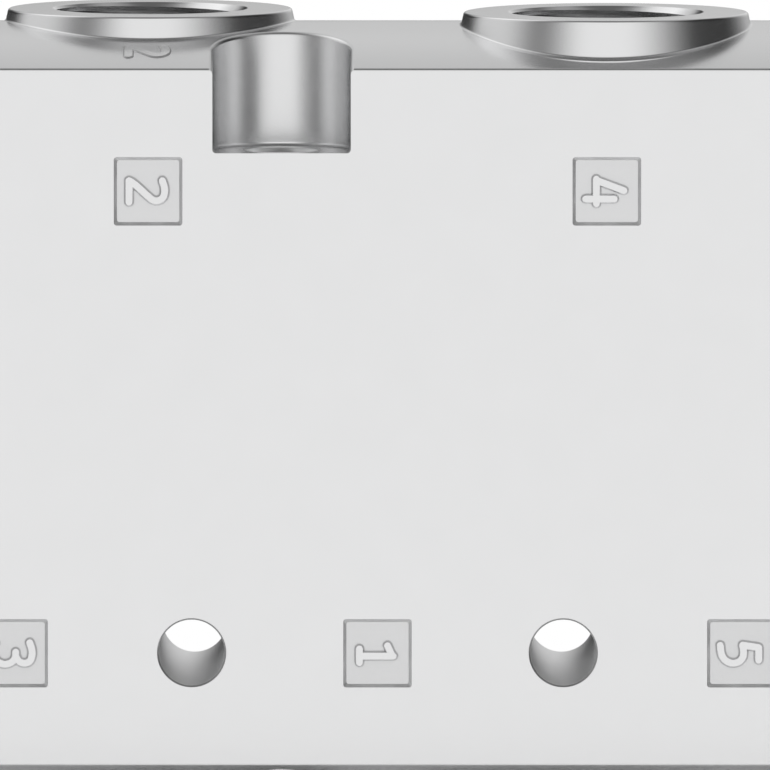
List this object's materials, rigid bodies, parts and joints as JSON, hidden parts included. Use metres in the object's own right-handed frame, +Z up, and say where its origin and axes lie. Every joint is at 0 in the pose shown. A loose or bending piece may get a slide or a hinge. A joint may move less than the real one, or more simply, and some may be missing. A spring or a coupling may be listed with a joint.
{
  "type": "pneumatic valve",
  "caption": "In-line 5/2-way spool valve with an air pilot and spring return, crowned cast body, threaded port collars and screw-head pockets.",
  "frame": {"origin": "centre of port 1 in the plane of the lower port collars, which is the middle of the valve's lowest plane", "axes": "+X along the spool from the spring end to the pilot end, +Y to the back, +Z up through the outlet ports"},
  "size_m": [0.088, 0.02, 0.0395],
  "materials": {
    "cast_aluminium": "fine die-cast skin, machined collar faces",
    "cover_polymer": "moulded, glass filled, fine texture",
    "rubber": "moulded nitrile",
    "zinc_steel": "bright zinc plated",
    "bearing_polymer": "turned acetal",
    "cage_polymer": "moulded, amber",
    "stainless_steel": "ground and polished",
    "spring_steel": "drawn wire",
    "sintered_bronze": "porous, sintered"
  },
  "bodies": {
    "valve": {"valve_body": "cast_aluminium", "pilot_cover": "cover_polymer", "return_cover": "cover_polymer", "pilot_gasket": "rubber", "return_gasket": "rubber", "pilot_cover_screws": "zinc_steel", "return_cover_screws": "zinc_steel", "pilot_bush": "bearing_polymer", "return_bush": "bearing_polymer", "inner_bumper": "rubber", "outer_bumper": "rubber", "return_spring": "spring_steel", "breather_filter": "sintered_bronze", "spacer_port_3": "cage_polymer", "spacer_port_2": "cage_polymer", "spacer_port_1": "cage_polymer", "spacer_port_4": "cage_polymer", "spacer_port_5": "cage_polymer", "spool_seal_1": "rubber", "spool_seal_2": "rubber", "spool_seal_3": "rubber", "spool_seal_4": "rubber", "spool_seal_5": "rubber", "spool_seal_6": "rubber"},
    "spool": {"spool": "stainless_steel", "spring_seat": "bearing_polymer"},
    "pilot_piston": {"pilot_piston": "bearing_polymer", "piston_seal": "rubber"}
  },
  "joints": [
    {"name": "spool_slide", "type": "slide", "parent": "valve", "child": "spool", "axis": [-1, 0, 0], "range_m": [0, 0.004], "stiffness_N_per_m": 1500, "springref_m": -0.0055, "deforming": ["return_spring"]},
    {"name": "piston_slide", "type": "slide", "parent": "valve", "child": "pilot_piston", "axis": [-1, 0, 0], "range_m": [0, 0.004]}
  ],
  "couplings": [
    {"joint": "piston_slide", "follows": "spool_slide", "ratio": 1}
  ]
}
